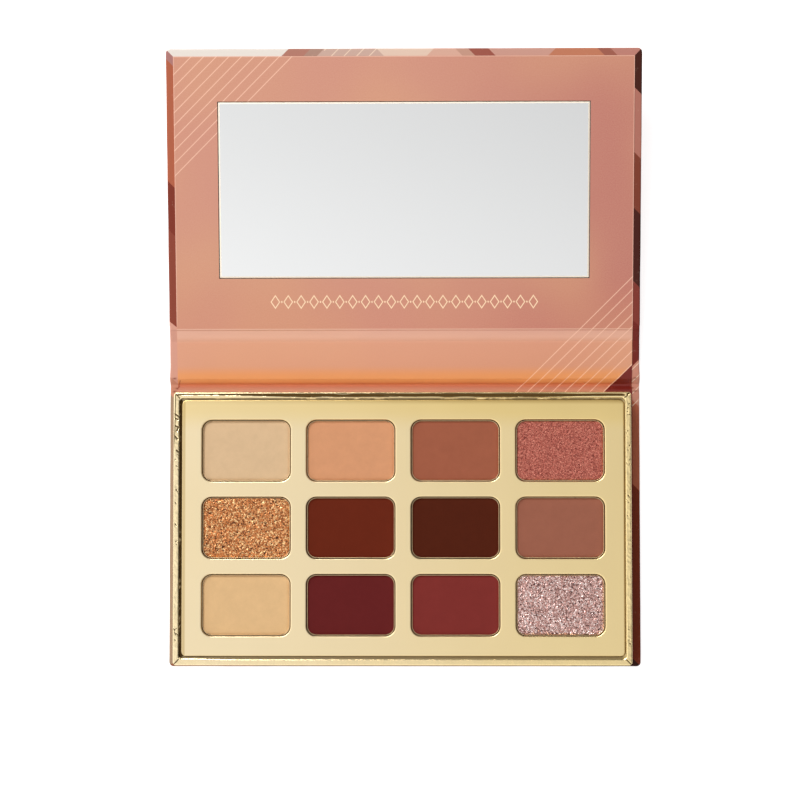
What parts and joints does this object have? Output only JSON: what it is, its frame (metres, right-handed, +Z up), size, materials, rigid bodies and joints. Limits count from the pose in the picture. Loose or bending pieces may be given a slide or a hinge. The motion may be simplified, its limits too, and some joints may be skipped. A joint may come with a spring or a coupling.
{
  "type": "eyeshadow palette",
  "caption": "Book-style paper-wrapped eyeshadow palette: mirror lid and spine on paper hinges, and a gold foil tray of recessed pressed powders.",
  "frame": {"origin": "centre of the base panel's flat underside", "axes": "+Z up out of the tray's face, +Y from the tray towards the spine and the opened lid, +X to the right along the hinges"},
  "size_m": [0.141, 0.1833, 0.0198],
  "materials": {
    "greyboard": "raw greyboard",
    "printed_wrap": "satin printed paper with a geometric facet pattern",
    "liner_paper": "satin printed paper, warm rose-tan",
    "gold_foil": "metallic pale gold foil paper, mirror-like",
    "gold_card": "satin pale gold card",
    "magnet_steel": "nickel plated",
    "formed_tray": "thin formed sheet",
    "glue": "clear adhesive",
    "mirror_glass": "silvered glass with ground edge",
    "pan_metal": "stamped thin metal",
    "powder_01": "pressed matte beige powder",
    "powder_02": "pressed matte peach powder",
    "powder_03": "pressed matte terracotta powder",
    "powder_04": "pressed rose shimmer powder",
    "powder_05": "pressed copper glitter",
    "powder_06": "pressed matte rust powder",
    "powder_07": "pressed matte dark brown powder",
    "powder_08": "pressed matte mauve-brown powder",
    "powder_09": "pressed matte cream powder",
    "powder_10": "pressed matte burgundy powder",
    "powder_11": "pressed matte cranberry powder",
    "powder_12": "pressed pink-silver glitter"
  },
  "bodies": {
    "base": {"base_board": "greyboard", "base_wrap": "printed_wrap", "base_liner": "liner_paper", "tray_wall_front": "greyboard", "tray_wall_rear": "greyboard", "tray_wall_left": "greyboard", "tray_wall_right": "greyboard", "tray_foil": "gold_foil", "tray_floor": "greyboard", "tray_magnet_left": "magnet_steel", "tray_magnet_right": "magnet_steel", "pan_carrier": "formed_tray", "pan_glue": "glue", "insert_panel": "gold_card", "pan_01": "pan_metal", "pan_02": "pan_metal", "pan_03": "pan_metal", "pan_04": "pan_metal", "pan_05": "pan_metal", "pan_06": "pan_metal", "pan_07": "pan_metal", "pan_08": "pan_metal", "pan_09": "pan_metal", "pan_10": "pan_metal", "pan_11": "pan_metal", "pan_12": "pan_metal", "powder_01": "powder_01", "powder_02": "powder_02", "powder_03": "powder_03", "powder_04": "powder_04", "powder_05": "powder_05", "powder_06": "powder_06", "powder_07": "powder_07", "powder_08": "powder_08", "powder_09": "powder_09", "powder_10": "powder_10", "powder_11": "powder_11", "powder_12": "powder_12"},
    "spine": {"spine_board": "greyboard", "spine_wrap": "printed_wrap", "spine_liner": "liner_paper"},
    "lid": {"lid_back_board": "greyboard", "lid_frame_board": "greyboard", "lid_wrap": "printed_wrap", "lid_liner": "liner_paper", "mirror_tape": "glue", "mirror": "mirror_glass", "lid_magnet_left": "magnet_steel", "lid_magnet_right": "magnet_steel"}
  },
  "joints": [
    {"name": "spine_hinge", "type": "hinge", "parent": "base", "child": "spine", "pos_m": [0, 0.04308, 0.00017], "axis": [1, 0, 0], "range_deg": [-10, 80]},
    {"name": "lid_hinge", "type": "hinge", "parent": "spine", "child": "lid", "pos_m": [0, 0.05804, 0.00281], "axis": [1, 0, 0], "range_deg": [0, 90]}
  ]
}
